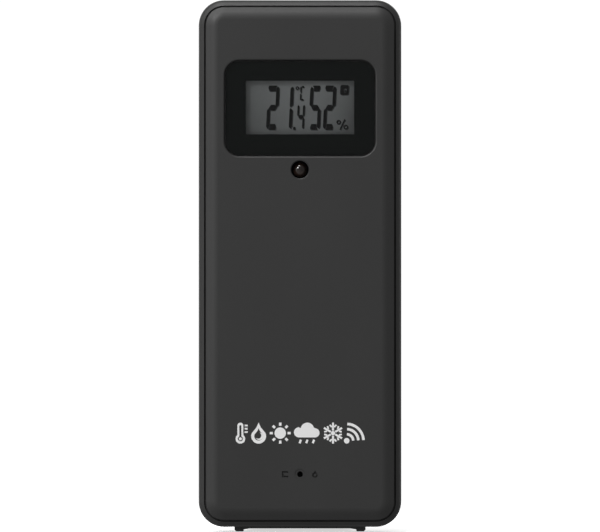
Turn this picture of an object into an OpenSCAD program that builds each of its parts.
// Outdoor temperature and humidity sensor with a display, a battery bay and a fold-out stand.
// Parts are drawn in front view: x to the right, y upwards from the ground,
// and depth backwards from the face.

/* [Case] */
// Width of the rear shell, the widest part of the case
case_w = 40; // [40:0.5:42]
// Height of the case without its feet
case_h = 104; // [104:0.5:106]
// Depth from the front face to the back
case_d = 24; // [24:0.5:26]
// Corner radius of the rear shell in front view
case_r = 5; // [4.8:0.1:5.4]
// Thickness of the rear shell's walls
wall = 2; // [1.8:0.1:2.1]

/* [Front face] */
// Distance from the rear shell's outline in to the front shell's
front_inset = 1.5; // [1.4:0.05:1.6]
// Width of the parting groove between the shells
groove_w = 0.45; // [0.35:0.05:0.5]
// Depth of the rear shell's rim behind the front face
rim_d = 6.2; // [5.8:0.1:6.4]
// Width of the crowned edge of the front face
crown_w = 2.3; // [1.8:0.1:2.6]
// Tilt of the crowned edge at its outside, in degrees
crown_tilt = 28; // [20:1:32]
// Thickness of the front face
face_t = 1.8; // [1.6:0.1:1.8]

/* [Display] */
// Width of the display window
window_w = 29.5; // [28.8:0.1:30.2]
// Height of the display window
window_h = 18.7; // [18.1:0.1:19.3]
// Corner radius of the display window
window_r = 2.85; // [2:0.05:3.2]
// Height of the window's centre above the ground
window_y = 83.5; // [83.4:0.1:84]
// Width of the display's view area
view_w = 21.5; // [20:0.1:22.5]
// Height of the display's view area
view_h = 10.65; // [9.6:0.05:11]

/* [Light and sensor hole] */
// Diameter of the status light
led_d = 3; // [2.8:0.1:3.2]
// Height of the status light above the ground
led_y = 71.4; // [71:0.1:71.6]
// Diameter of the sensor pinhole
pinhole_d = 1.15; // [0.8:0.05:1.6]
// Height of the sensor pinhole above the ground
pinhole_y = 11.4; // [10.4:0.1:13]

/* [Feet and stand] */
// Distance across the outsides of the two feet
foot_span = 25.9; // [25.5:0.1:26.1]
// Width of one foot
foot_w = 1.8; // [1.7:0.1:1.9]
// Height of the feet below the case
foot_h = 0.9; // [0.8:0.1:1]
// Length of the stand leg from its hinge
leg_len = 29; // [26:0.5:29.5]
// Thickness of the stand leg
leg_t = 2.6; // [2.2:0.1:2.6]
// Radius of the stand leg's hinge pins
leg_pin_r = 1; // [0.8:0.05:1]

/* [Batteries] */
// Diameter of a battery cell
cell_d = 10.5; // [10.3:0.1:10.5]
// Length of a battery cell with its button
cell_len = 44.5; // [44:0.1:44.7]

/* [Controls] */
// Diameter of the two push buttons
button_d = 3.6; // [3.2:0.1:4]
// Step between two channel positions
channel_step = 2; // [1.5:0.1:2]

/* [Hidden] */
$fn = 48;

over = 1;                // how far a cutter runs past the surface it opens
gap = 0.3;               // air between pieces that move past each other
fit = 0.06;              // radial clearance of a hinge pin
slide_fit = 0.1;         // clearance round a button or slider

// Case outlines
base_y = foot_h;                           // underside of the case
mid_y = base_y + case_h / 2;
half_w = case_w / 2;
front_r = case_r - front_inset;
front_wall = 1.7;
front_end = 8.6;                           // depth where the front shell ends
flange_d = rim_d + 0.5;                    // bottom of the parting groove
rim_w = front_inset - groove_w;
rim_slope = 35;
rim_round = 1.15;
back_round = 2.5;
seat_d = 9;                                // depth of the gasket seat
seat_t = 1.5;
seat_inset = front_inset + front_wall;
back_in = case_d - wall;                   // inner side of the back wall

// Feet, stand leg and its recess
foot_out = foot_span / 2;
foot_in = foot_out - foot_w;
foot_front = rim_d + 1.8;
foot_back = case_d - 0.6;
foot_chamfer = 0.35;
foot_top = base_y + 0.9;                   // runs up into the case, but not into the rim's inside
bar_drop = 0.3;                            // how far the bar between the feet hangs below the case
bar_y = base_y - bar_drop;
leg_r = 1.8;                               // radius of the leg's hinge barrel
leg_w = 2 * (foot_in - gap);
leg_y = bar_y + leg_r;
leg_d = case_d - 0.6 - leg_r;
tip_d = leg_d + leg_len;
recess_floor = leg_d - (leg_t - leg_r) - 0.5;   // clear of the folded leg's inner face
recess_top = leg_y + leg_len + 0.8;
barrel_clear = leg_r + 0.4;
recess_wall = 1.6;
mid_depth = tip_d / 2;                     // middle of the whole object's depth, leg out

// Battery bay and cover, measured from the back
cover_t = 2;
cover_in = case_d - cover_t;
cell_r = cell_d / 2;
cell_depth = cover_in - 0.6 - cell_r;
bay_floor = cell_depth - cell_r - 0.3;
bay_floor_t = 1;
bay_x = half_w - 5.4;
plate_t = 0.4;
spring_len = 3.3;
bay_y0 = 37.6;
bay_y1 = bay_y0 + 2 * plate_t + cell_len + spring_len;
bay_block_x = half_w - 3.1;
ledge_d = cover_in - 0.8;
left_x = -bay_x + cell_r + 0.3;
right_x = left_x + cell_d + 0.4;
divider_x = right_x + cell_r + 0.3;
divider_t = 0.8;
cover_x = bay_x + 1;
cover_pin_r = 0.6;
cover_pin_len = 1;
cover_axis_y = bay_y0 - 1.4;
cover_axis_d = case_d - cover_t / 2;
cover_y0 = cover_axis_y - cover_t / 2;
cover_y1 = bay_y1 + 1.8;
cover_gasket_t = 0.5;

// Circuit board and the places on it
board_d = 6;
board_t = 1;
board_back = board_d + board_t;
board_w = case_w - 7;
board_h = case_h - 14;
board_screws_at = [[-13.2, 62], [13.2, 44], [-13.2, 26], [13.2, 26]];
board_screw_r = 0.7;
control_x = 11.2;
slider_y = 76;
unit_y = 62;
transmit_y = 50;

// Housing screws, driven from the back
post_r = 2.2;
boss_r = 2.9;
screw_r = 0.9;
screw_head_r = 1.9;
screw_seat = 12;
screw_end = 4.6;
screws_at = [[half_w - 4.7, 12], [4.7 - half_w, 12], [half_w - 6.5, 94.5], [6.5 - half_w, 94.5]];

// Wall keyhole
key_y = bay_y1 + 7.3;
key_r = 3.5;
key_slot_r = 1.75;
key_slot_len = 5;
key_pocket_x = 4.2;                        // half width of the closed pocket behind the keyhole
key_pocket_d = back_in - 4.5;
key_pocket_wall = 1;

// Display stack, by depth
window_sink = 0.35;
window_t = 1.05;
tape_t = 0.15;
tape_d = window_sink + window_t;
ledge_w = 1.95;
lip_round = 0.35;
holder_d = 2.3;
stack_d = 3;
film_t = 0.15;
glass_t = 0.55;
view_y = window_y + 0.15;
glass_w = 25.6;
glass_h = 12.8;
contact_h = 1.8;
holder_w = 28;
holder_h = 17.2;
holder_y = view_y - 0.8;

// Channel switch
knob_w = 1.3;
knob_h = 1.9;
channel_travel = 2 * channel_step;
slot_h = knob_h + channel_travel + 2 * slide_fit;
slot_mid_y = slider_y - channel_travel / 2;

// ---- Drawing planes -------------------------------------------------------------------------

// Turns the drawing frame into the object's frame: face towards -Y, up is +Z
module upright() { translate([0, -mid_depth, 0]) rotate([90, 0, 0]) children(); }

// A front-view outline (x, y) made solid between two depths
module slab(near, far) { translate([0, 0, -far]) linear_extrude(far - near) children(); }

// A plan-view outline (x, depth) made solid between two heights
module level(low, high) {
    translate([0, low, 0]) rotate([-90, 0, 0]) linear_extrude(high - low) children();
}

// A side-view outline (depth, y) made solid between two sides
module across(left, right) {
    translate([left, 0, 0]) rotate([0, 90, 0]) linear_extrude(right - left) children();
}

// A box given by its two corners in x, y and depth
module block(x0, x1, y0, y1, d0, d1) { translate([x0, y0, -d1]) cube([x1 - x0, y1 - y0, d1 - d0]); }

// A round pin along x
module pin(x0, x1, y, d, r) { translate([x0, y, -d]) rotate([0, 90, 0]) cylinder(h = x1 - x0, r = r); }

// ---- Shared shapes --------------------------------------------------------------------------

module round_rect(w, h, r) {
    square([w - 2 * r, h], center = true);
    square([w, h - 2 * r], center = true);
    for (sx = [-1, 1], sy = [-1, 1]) translate([sx * (w / 2 - r), sy * (h / 2 - r)]) circle(r);
}

// The case outline, moved in by an inset
module case_outline(inset) {
    translate([0, mid_y]) round_rect(case_w - 2 * inset, case_h - 2 * inset, case_r - inset);
}

// A rounded rectangle whose edge follows the child profile: profile x runs out from the corner centres
module swept_edge(w, h, r, top, bottom) {
    cx = w / 2 - r;
    cy = h / 2 - r;
    for (i = [0:3]) {
        sx = (i == 0 || i == 3) ? 1 : -1;
        sy = i < 2 ? 1 : -1;
        translate([sx * cx, sy * cy, 0]) rotate([0, 0, 90 * i]) rotate_extrude(angle = 90) children();
    }
    for (turn = [0, 180]) {
        rotate([0, 0, turn]) translate([cx, 0, 0])
            rotate([90, 0, 0]) linear_extrude(2 * cy, center = true) children();
        rotate([0, 0, turn + 90]) translate([cy, 0, 0])
            rotate([90, 0, 0]) linear_extrude(2 * cx, center = true) children();
    }
    translate([-cx, -cy, bottom]) cube([2 * cx, 2 * cy, top - bottom]);
}

// Edge of the front shell: an arc that leaves the flat face and runs into a straight slope
module crown_profile() {
    slope_w = 1;
    arc_r = (crown_w - slope_w) / sin(crown_tilt);
    arc_drop = arc_r * (1 - cos(crown_tilt));
    difference() {
        translate([0, -flange_d]) square([front_r, flange_d]);
        difference() {
            translate([front_r - crown_w, -arc_drop]) square([crown_w - slope_w, arc_drop + over]);
            translate([front_r - crown_w, -arc_r]) circle(arc_r);
        }
        translate([front_r - slope_w, -arc_drop]) rotate(-crown_tilt)
            translate([-slope_w, 0]) square([3 * slope_w, over]);
    }
}

// Edge of the rear shell: a rounded back, and a rim that slopes to a small outer round
module rear_profile() {
    slope_x = case_r - rim_w;
    round_x = case_r - rim_round;
    round_y = -rim_d - (round_x - slope_x) * tan(rim_slope) - rim_round / cos(rim_slope);
    difference() {
        translate([0, -case_d]) square([case_r, case_d - rim_d]);
        translate([slope_x, -rim_d]) rotate(-rim_slope) square([2 * rim_w, over]);
        difference() {
            translate([round_x + rim_round * sin(rim_slope), round_y]) square([over, 2 * over]);
            translate([round_x, round_y]) circle(rim_round);
        }
        difference() {
            translate([case_r - back_round, -case_d - over]) square([back_round + over, back_round + over]);
            translate([case_r - back_round, back_round - case_d]) circle(back_round);
        }
    }
}

// A small round cut round the front edge of the window's pocket
module pocket_lip_profile() {
    reach = window_r + slide_fit + lip_round;
    difference() {
        translate([0, -lip_round]) square([reach, lip_round + over]);
        translate([reach, -lip_round]) circle(lip_round);
    }
}

module window_outline(grow) {
    translate([0, window_y]) round_rect(window_w + 2 * grow, window_h + 2 * grow, window_r + grow);
}

module glass_outline(w, h, y) { translate([0, y]) square([w, h], center = true); }

// ---- Front shell ----------------------------------------------------------------------------

module open_bracket_mark() {
    stroke = 0.3;
    size = 1.2;
    difference() {
        square(size, center = true);
        translate([stroke, 0]) square([size, size - 2 * stroke], center = true);
    }
}

module drop_mark() {
    difference() {
        union() {
            circle(0.56);
            polygon([[-0.5, 0.25], [0, 0.85], [0.5, 0.25]]);
        }
        circle(0.24);
    }
}

module front_shell() {
    window_frame = 1.6;
    sensor_ring_r = 1.05;
    mark_depth = 0.4;
    light_hole_r = led_d / 2 + 0.225;
    light_chamfer = 0.2;
    post_end = seat_d;
    color("#383838") upright() difference() {
        union() {
            difference() {
                union() {
                    translate([0, mid_y, 0])
                        swept_edge(case_w - 2 * front_inset, case_h - 2 * front_inset, front_r, 0, -flange_d)
                            crown_profile();
                    slab(flange_d, front_end) case_outline(rim_w + slide_fit);
                }
                slab(face_t, front_end + over) case_outline(seat_inset);
            }
            slab(face_t, holder_d) window_outline(window_frame);
            for (at = screws_at) slab(face_t - 0.1, post_end) translate(at) circle(post_r);
            for (at = board_screws_at) slab(face_t - 0.1, board_d) translate(at) circle(2);
        }
        slab(-over, tape_d + tape_t) window_outline(slide_fit);
        translate([0, window_y, 0])
            swept_edge(window_w + 2 * (slide_fit + lip_round), window_h + 2 * (slide_fit + lip_round),
                       window_r + slide_fit + lip_round, over, -lip_round) pocket_lip_profile();
        slab(-over, holder_d + over) translate([0, window_y])
            square([window_w - 2 * ledge_w, window_h - 2 * ledge_w], center = true);
        slab(-over, face_t + over) translate([0, led_y]) circle(light_hole_r);
        translate([0, led_y, -light_chamfer]) cylinder(
            h = light_chamfer + over, r1 = light_hole_r, r2 = light_hole_r + light_chamfer + over);
        slab(-over, face_t + over) translate([0, pinhole_y]) circle(pinhole_d / 2);
        slab(-over, 0.12) translate([0, pinhole_y]) circle(sensor_ring_r);
        slab(-over, mark_depth) translate([-2.95, pinhole_y]) open_bracket_mark();
        slab(-over, mark_depth) translate([2.95, pinhole_y - 0.15]) drop_mark();
        for (at = screws_at) slab(screw_end - 0.6, post_end + over) translate(at) circle(screw_r + 0.05);
        for (at = board_screws_at) slab(2.6, board_d + over) translate(at) circle(board_screw_r + 0.05);
    }
}

// ---- Display --------------------------------------------------------------------------------

module display_window() {
    color("#1a1c1c") upright() slab(window_sink, tape_d) window_outline(0);
}

module window_adhesive() {
    color("#101010") upright() slab(tape_d, tape_d + tape_t) difference() {
        window_outline(-0.1);
        translate([0, window_y])
            square([window_w - 2 * ledge_w + 0.2, window_h - 2 * ledge_w + 0.2], center = true);
    }
}

module display_holder() {
    color("#161616") upright() difference() {
        slab(holder_d, board_d) glass_outline(holder_w, holder_h, holder_y);
        slab(holder_d - over, board_d) glass_outline(view_w, view_h, view_y);
        slab(stack_d, board_d + over)
            glass_outline(glass_w + 0.2, glass_h + contact_h + 0.2, view_y - contact_h / 2);
    }
}

module front_polariser() {
    color("#55595a") upright() slab(stack_d, stack_d + film_t)
        glass_outline(glass_w - 0.6, glass_h - 0.4, view_y);
}

module display_front_glass() {
    color("#9fb0ac") upright() slab(stack_d + film_t, stack_d + film_t + glass_t)
        glass_outline(glass_w, glass_h + contact_h, view_y - contact_h / 2);
}

module display_rear_glass() {
    near = stack_d + film_t + glass_t;
    color("#9fb0ac") upright() slab(near, near + glass_t) glass_outline(glass_w, glass_h, view_y);
}

module display_reflector() {
    near = stack_d + film_t + 2 * glass_t;
    color("#b9bdb8") upright() slab(near, near + film_t) glass_outline(glass_w - 0.6, glass_h - 0.4, view_y);
}

module contact_strip() {
    color("#4f5357") upright() slab(stack_d + film_t + glass_t, board_d)
        glass_outline(glass_w - 1.6, contact_h - 0.4, view_y - (glass_h + contact_h) / 2);
}

// ---- Circuit board --------------------------------------------------------------------------

module circuit_board() {
    color("#1f5a35") upright() difference() {
        slab(board_d, board_back) translate([0, mid_y]) round_rect(board_w, board_h, 1.5);
        for (at = screws_at) slab(board_d - over, board_back + over) translate(at) circle(post_r + 0.4);
        for (at = board_screws_at)
            slab(board_d - over, board_back + over) translate(at) circle(board_screw_r + 0.2);
    }
}

// A pan-head screw along depth, with a crossed recess in its head
module screw(seat, tip, shank_r, head_r, head_h) {
    slot_w = head_r / 3;
    slab(tip, seat) circle(shank_r);
    difference() {
        slab(seat, seat + head_h) circle(head_r);
        slab(seat + head_h / 2, seat + head_h + over) square([head_r * 1.3, slot_w], center = true);
        slab(seat + head_h / 2, seat + head_h + over) square([slot_w, head_r * 1.3], center = true);
    }
}

module board_screws() {
    color("#a9abad") upright() for (at = board_screws_at)
        translate([at[0], at[1], 0]) screw(board_back, 3, board_screw_r, 1.5, 0.9);
}

module controller_chip() {
    cap_r = 4.5;
    cap_h = 1.2;
    ball_r = (cap_r * cap_r + cap_h * cap_h) / (2 * cap_h);
    color("#0c0c0c") upright() intersection() {
        translate([-3, 60, ball_r - cap_h - board_d]) sphere(ball_r, $fn = 240);
        block(-3 - cap_r, cap_r - 3, 60 - cap_r, 60 + cap_r, board_d - cap_h, board_d);
    }
}

module clock_crystal() {
    can_r = 1;
    color("#c4c6c8") upright() {
        translate([5, 56, can_r - board_d]) rotate([-90, 0, 0]) cylinder(h = 6, r = can_r);
        for (side = [-1, 1]) translate([5 + side * 0.35, 62, can_r - board_d])
            rotate([-90, 0, 0]) cylinder(h = 2, r = 0.15);
    }
}

// A chip part of the given size, standing on the face of the board
module chip_part(at, w, h, t) {
    block(at[0] - w / 2, at[0] + w / 2, at[1] - h / 2, at[1] + h / 2, board_d - t, board_d);
}

module chip_capacitors() {
    color("#b08a5c") upright() {
        for (i = [0:6]) chip_part([-12 + 2.6 * i, 52.7], 0.9, 1.7, 0.8);
        for (i = [0:3]) chip_part([-9 + 2.4 * i, 22.5], 0.9, 1.7, 0.8);
    }
}

module chip_resistors() {
    color("#1c1c1c") upright() {
        for (side = [-1, 1], i = [0:3]) chip_part([side * (4 + 2.2 * i), 66.8], 0.8, 1.6, 0.5);
        for (i = [0:4]) chip_part([1 + 2.2 * i, 27], 0.8, 1.6, 0.5);
    }
}

module electrolytic_capacitor() {
    can_r = 2;
    color("#2a2c33") upright() translate([12, 53.5, can_r - board_d])
        rotate([-90, 0, 0]) cylinder(h = 7, r = can_r);
}

radio_x0 = -12;
radio_w = 14;
radio_y0 = 30;
radio_h = 20;
radio_d = 4;
radio_t = 0.8;

module radio_board() {
    color("#22406e") upright()
        block(radio_x0, radio_x0 + radio_w, radio_y0, radio_y0 + radio_h, radio_d, radio_d + radio_t);
}

module radio_chip() {
    color("#141414") upright() {
        block(-9, -5, 34, 38, radio_d - 0.9, radio_d);
        block(-3.5, -0.5, 33.5, 35.5, radio_d - 0.7, radio_d);
    }
}

module radio_filter() {
    color("#c9c9c4") upright() slab(radio_d - 1.5, radio_d) translate([-4.5, 44]) circle(2.4);
}

module radio_pins() {
    color("#c9a24a") upright() for (i = [0:4])
        slab(radio_d + radio_t, board_d) translate([radio_x0 + 2 + 2.54 * i, radio_y0 + 1.3])
            square(0.6, center = true);
}

coil_x = 8.5;
coil_y = 31;
coil_r = 1.55;
coil_wire = 0.25;
coil_turns = 17;
coil_pitch = 1.25;
coil_d = 3.9;

// A ring of round wire lying across the vertical direction
module wire_ring(ring_r, wire_r) { rotate([-90, 0, 0]) rotate_extrude() translate([ring_r, 0]) circle(wire_r); }

module antenna_coil() {
    color("#b8743a") upright() for (i = [0:coil_turns - 1])
        translate([coil_x, coil_y + i * coil_pitch, -coil_d]) wire_ring(coil_r, coil_wire);
}

// ---- Light and sensors ----------------------------------------------------------------------

light_flange_d = 4;
light_base_d = 5;

module status_light() {
    dome_d = 0.1 + led_d / 2;
    color("#4a1512") upright() translate([0, led_y, 0]) {
        translate([0, 0, -light_base_d]) cylinder(h = light_base_d - dome_d, r = led_d / 2);
        difference() {
            translate([0, 0, -dome_d]) sphere(led_d / 2);
            translate([-led_d, -led_d, -dome_d - led_d]) cube([2 * led_d, 2 * led_d, led_d]);
        }
        translate([0, 0, -light_base_d]) cylinder(h = light_base_d - light_flange_d, r = led_d / 2 + 0.4);
    }
}

module light_leads() {
    color("#bfc1c3") upright() for (side = [-1, 1])
        slab(light_base_d, board_d) translate([side * 0.9, led_y]) square(0.45, center = true);
}

sensor_w = 9;
sensor_h = 12;
sensor_y0 = base_y + 7.6;
sensor_t = 3.4;

module humidity_sensor() {
    slot_w = 0.8;
    color("#26282a") upright() difference() {
        block(-sensor_w / 2, sensor_w / 2, sensor_y0, sensor_y0 + sensor_h, board_d - sensor_t, board_d);
        for (i = [-2:2]) block(i * 1.6 - slot_w / 2, i * 1.6 + slot_w / 2, sensor_y0 + 1.4,
                               sensor_y0 + sensor_h - 3, board_d - sensor_t - over, board_d - 1);
    }
}

module thermistor() {
    bead_r = 0.9;
    bead_d = 3.2;
    color("#20242a") upright() translate([8, 14, 0]) {
        translate([0, 0, -bead_d]) sphere(bead_r);
        for (side = [-1, 1]) slab(bead_d, board_d) translate([side * 0.4, 0]) circle(0.2);
    }
}

// ---- Controls in the battery bay ------------------------------------------------------------

switch_w = 4;
switch_h = 9;
switch_top = board_back + 2;
knob_foot = board_back + 1.1;

module channel_switch() {
    color("#9b9ea1") upright() difference() {
        block(control_x - switch_w / 2, control_x + switch_w / 2, slot_mid_y - switch_h / 2,
              slot_mid_y + switch_h / 2, board_back, switch_top);
        block(control_x - knob_w / 2 - slide_fit, control_x + knob_w / 2 + slide_fit,
              slot_mid_y - slot_h / 2, slot_mid_y + slot_h / 2, knob_foot - slide_fit, switch_top + over);
    }
}

module channel_slider() {
    color("#e8e8e4") upright() difference() {
        block(control_x - knob_w / 2, control_x + knob_w / 2, slider_y - knob_h / 2, slider_y + knob_h / 2,
              knob_foot, bay_floor + 1.6);
        block(control_x - knob_w, control_x + knob_w, slider_y - 0.2, slider_y + 0.2,
              bay_floor + 1.3, bay_floor + 1.6 + over);
    }
}

module button_switches() {
    body = 4.6;
    color("#2b2d30") upright() for (y = [unit_y, transmit_y]) translate([control_x, y, 0]) {
        slab(board_back, board_back + 1.2) square(body, center = true);
        slab(board_back + 1.2, board_back + 1.7) circle(1.1);
    }
}

button_foot = board_back + 2.3;
button_top = bay_floor + 1.4;

module button_cap(y) {
    upright() difference() {
        slab(button_foot, button_top) translate([control_x, y]) circle(button_d / 2);
        translate([control_x, y, -button_top - 5.7]) sphere(6);
    }
}

module unit_button() { color("#8c8f92") button_cap(unit_y); }

module transmit_button() { color("#8c8f92") button_cap(transmit_y); }

// ---- Rear shell -----------------------------------------------------------------------------

// Front-view outline of one foot, its outer lower corner chamfered, with the small web beside it
module foot_outline() {
    polygon([[foot_in, foot_top], [foot_in, 0.1], [foot_in + 0.1, 0], [foot_out - foot_chamfer, 0],
             [foot_out, foot_chamfer], [foot_out, foot_top]]);
}

module foot_web() {
    polygon([[foot_in + 0.1, base_y + 0.1], [foot_in + 0.1, bar_y - 0.25], [foot_in - 1.25, bar_y],
             [foot_in - 1.25, base_y + 0.1]]);
}

module both_sides() {
    children();
    mirror([1, 0, 0]) children();
}

module feet() {
    both_sides() {
        slab(foot_front, foot_back) foot_outline();
        slab(foot_front, leg_d - barrel_clear) foot_web();
    }
    block(-foot_in - 0.1, foot_in + 0.1, bar_y, base_y + 0.1, rim_d + 1.2, leg_d - barrel_clear);
}

module stand_recess() {
    block(-foot_in, foot_in, -over, recess_top, recess_floor, case_d + over);
    block(-foot_in, foot_in, -over, leg_y + 3, leg_d - barrel_clear, case_d + over);
}

module keyhole_outline() {
    translate([0, key_y]) circle(key_r);
    translate([-key_slot_r, key_y]) square([2 * key_slot_r, key_slot_len]);
    translate([0, key_y + key_slot_len]) circle(key_slot_r);
}

// A pocket behind the keyhole, grown by its wall for the outside
module keyhole_pocket(grow, far) {
    block(-key_pocket_x - grow, key_pocket_x + grow, key_y - key_r - 0.4 - grow,
          key_y + key_slot_len + key_slot_r + 0.4 + grow, key_pocket_d - grow, far);
}

module bay_divider() {
    block(divider_x, divider_x + divider_t, bay_y0 - 0.1, bay_y1 + 0.1, bay_floor - 0.1, bay_floor + 4.5);
}

module rear_shell_body() {
    vent_pitch = 2.2;
    difference() {
        union() {
            difference() {
                translate([0, mid_y, 0]) swept_edge(case_w, case_h, case_r, -rim_d, -case_d) rear_profile();
                slab(rim_d - over, seat_d) case_outline(rim_w);
                slab(seat_d - over, seat_d + seat_t) case_outline(seat_inset);
                slab(seat_d + seat_t - 0.01, back_in) case_outline(wall);
            }
            block(-bay_block_x, bay_block_x, bay_y0 - 1.6, bay_y1 + 1.6,
                  bay_floor - bay_floor_t, back_in + 0.1);
            block(-foot_out, foot_out, base_y + 0.5, recess_top + recess_wall,
                  leg_d - barrel_clear - recess_wall, back_in + 0.1);
            for (at = screws_at) slab(seat_d, back_in + 0.1) translate(at) circle(boss_r);
            keyhole_pocket(key_pocket_wall, back_in + 0.1);
            feet();
        }
        // battery bay with its cover seat
        block(-bay_x, bay_x, bay_y0, bay_y1, bay_floor, case_d + over);
        block(-cover_x - gap, cover_x + gap, cover_y0 - gap, cover_y1 + gap, ledge_d, case_d + over);
        both_sides() pin(cover_x, cover_x + cover_pin_len + gap + 0.2,
                         cover_axis_y, cover_axis_d, cover_pin_r + fit);
        // holes in the bay floor for the controls and the contact tags
        for (y = [unit_y, transmit_y]) slab(bay_floor - bay_floor_t - over, bay_floor + over)
            translate([control_x, y]) circle(button_d / 2 + slide_fit);
        slab(bay_floor - bay_floor_t - over, bay_floor + over) translate([control_x, slot_mid_y])
            square([knob_w + 2 * gap, slot_h + 2 * gap], center = true);
        for (x = [left_x, right_x]) slab(bay_floor - bay_floor_t - over, bay_floor + over)
            translate([x, bay_y1 - 0.4]) square([3, 0.8], center = true);
        // stand recess with the leg's pin holes
        stand_recess();
        pin(-foot_out - over, foot_out + over, leg_y, leg_d, leg_pin_r + fit);
        // screw holes
        for (at = screws_at) {
            slab(screw_seat, case_d + over) translate(at) circle(screw_head_r + 0.15);
            slab(seat_d - over, screw_seat + over) translate(at) circle(screw_r + 0.25);
        }
        keyhole_pocket(0, back_in);
        slab(back_in - 0.1, case_d + over) keyhole_outline();
        // air slots low in both side walls
        both_sides() for (i = [0:3])
            block(half_w - wall - 0.1, half_w + over, 18 + i * vent_pitch, 19 + i * vent_pitch, 13, 19);
    }
}

module rear_shell() {
    color("#343434") upright() {
        rear_shell_body();
        bay_divider();
    }
}

module case_gasket() {
    inner = seat_inset - 0.2;
    color("#202020") upright() difference() {
        slab(front_end, seat_d) difference() {
            case_outline(rim_w + 0.25);
            case_outline(inner);
        }
        for (at = screws_at) slab(front_end - over, seat_d + over) translate(at) circle(boss_r);
    }
}

module housing_screws() {
    color("#a9abad") upright() for (at = screws_at)
        translate([at[0], at[1], 0]) screw(screw_seat, screw_end, screw_r, screw_head_r, 1.2);
}

// ---- Batteries ------------------------------------------------------------------------------

// A cell standing on its flat end, button upwards
module cell() {
    button_h = 0.9;
    shoulder = 0.5;
    rotate([-90, 0, 0]) {
        cylinder(h = cell_len - button_h - shoulder, r = cell_r);
        translate([0, 0, cell_len - button_h - shoulder]) cylinder(h = shoulder, r1 = cell_r, r2 = cell_r - 0.5);
        translate([0, 0, cell_len - button_h]) cylinder(h = button_h, r = 1.9);
    }
}

module left_cell() {
    color("#2f3a44") upright() translate([left_x, bay_y0 + plate_t + spring_len, -cell_depth]) cell();
}

module right_cell() {
    color("#2f3a44") upright() translate([right_x, bay_y0 + plate_t + cell_len, -cell_depth])
        mirror([0, 1, 0]) cell();
}

// A contact plate at the top of the bay with a tag down to the circuit board
module top_contact(x) {
    block(x - 3.5, x + 3.5, bay_y1 - plate_t, bay_y1, bay_floor + 1, cover_in - 1.5);
    block(x - 1.2, x + 1.2, bay_y1 - plate_t, bay_y1, board_back, bay_floor + 1);
}

module positive_contact() { color("#c8cacc") upright() top_contact(left_x); }

module negative_contact() { color("#c8cacc") upright() top_contact(right_x); }

module bridge_contact() {
    color("#c8cacc") upright()
        block(left_x - 3.5, right_x + 3.5, bay_y0, bay_y0 + plate_t, bay_floor + 1, cover_in - 1.5);
}

spring_wire = 0.3;
spring_rings = 5;
spring_wide = 3.2;
spring_narrow = 2;

// Rings of a cone-shaped spring, widest at the plate, rising from it in the given direction
module spring_rings_from(y, direction) {
    step = (spring_len - 2 * spring_wire) / (spring_rings - 1);
    for (i = [0:spring_rings - 1])
        translate([0, y + direction * (spring_wire + i * step), -cell_depth])
            wire_ring(spring_wide - i * (spring_wide - spring_narrow) / (spring_rings - 1), spring_wire);
}

module negative_spring() {
    color("#d0d2d4") upright() translate([right_x, 0, 0]) spring_rings_from(bay_y1 - plate_t, -1);
}

module bridge_spring() {
    color("#d0d2d4") upright() translate([left_x, 0, 0]) spring_rings_from(bay_y0 + plate_t, 1);
}

module battery_cover() {
    latch_x = 3;
    dimple_r = 5;
    dimple_sink = 1;
    color("#343434") upright() {
        difference() {
            union() {
                block(-cover_x, cover_x, cover_axis_y, cover_y1, cover_in, case_d);
                pin(-cover_x, cover_x, cover_axis_y, cover_axis_d, cover_t / 2);
                pin(-cover_x - cover_pin_len, cover_x + cover_pin_len,
                    cover_axis_y, cover_axis_d, cover_pin_r);
                block(control_x - latch_x, control_x + latch_x, cover_y1 - 3.4, cover_y1 - 2.5,
                      cover_in - 2.8, cover_in + 0.1);
            }
            translate([0, cover_y1 - 5, -case_d - dimple_r + dimple_sink]) sphere(dimple_r);
            for (i = [0:4]) block(-7, 7, bay_y0 + 3 + 1.6 * i, bay_y0 + 3.7 + 1.6 * i, case_d - 0.4, case_d + over);
        }
    }
}

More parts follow.
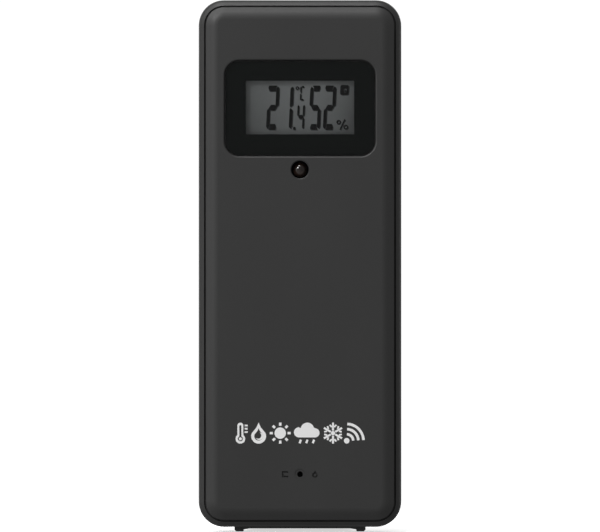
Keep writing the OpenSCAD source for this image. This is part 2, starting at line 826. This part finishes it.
module cover_gasket() {
    color("#202020") upright() slab(ledge_d, ledge_d + cover_gasket_t) difference() {
        translate([-cover_x + 0.1, bay_y0 - 1.1]) square([2 * cover_x - 0.2, bay_y1 - bay_y0 + 2.2]);
        translate([-bay_x - 0.2, bay_y0 - 0.2]) square([2 * bay_x + 0.4, bay_y1 - bay_y0 + 0.4]);
    }
}

// ---- Stand ----------------------------------------------------------------------------------

module stand_leg() {
    tip_r = 3;
    pad_w = 3.5;
    notch_w = 8;
    rib_w = 1.4;
    color("#2f2f2f") upright() difference() {
        union() {
            intersection() {
                across(-leg_w / 2, leg_w / 2) union() {
                    translate([leg_d, leg_y]) circle(leg_r);
                    translate([leg_d, bar_y]) square([leg_len, leg_t]);
                }
                level(-over, 2 * leg_r + leg_y) union() {
                    translate([-leg_w / 2, leg_d - leg_r]) square([leg_w, leg_len + leg_r - tip_r]);
                    translate([-leg_w / 2 + tip_r, leg_d]) square([leg_w - 2 * tip_r, leg_len]);
                    for (side = [-1, 1]) translate([side * (leg_w / 2 - tip_r), tip_d - tip_r]) circle(tip_r);
                }
            }
            for (side = [-1, 1]) level(0, bar_y + 0.1)
                translate([side * (leg_w / 2 - 4) - pad_w / 2, tip_d - 4.5]) square([pad_w, 3]);
            pin(-foot_in - 1.1, foot_in + 1.1, leg_y, leg_d, leg_pin_r);
        }
        // thumb notch at the tip and long pockets between the ribs
        level(-over, leg_y + over) translate([0, tip_d + 1.5]) circle(notch_w / 2);
        for (i = [-1:1]) level(bar_y + leg_t - 1, bar_y + leg_t + over)
            translate([i * (leg_w - rib_w) / 3 - (leg_w - 4 * rib_w) / 6, leg_d + 4])
                square([(leg_w - 4 * rib_w) / 3, leg_len - 11]);
    }
}

front_shell();
display_window();
window_adhesive();
display_holder();
front_polariser();
display_front_glass();
display_rear_glass();
display_reflector();
contact_strip();
circuit_board();
board_screws();
controller_chip();
clock_crystal();
chip_capacitors();
chip_resistors();
electrolytic_capacitor();
radio_board();
radio_chip();
radio_filter();
radio_pins();
antenna_coil();
status_light();
light_leads();
humidity_sensor();
thermistor();
channel_switch();
channel_slider();
button_switches();
unit_button();
transmit_button();
rear_shell();
case_gasket();
housing_screws();
left_cell();
right_cell();
positive_contact();
negative_contact();
bridge_contact();
negative_spring();
bridge_spring();
battery_cover();
cover_gasket();
stand_leg();
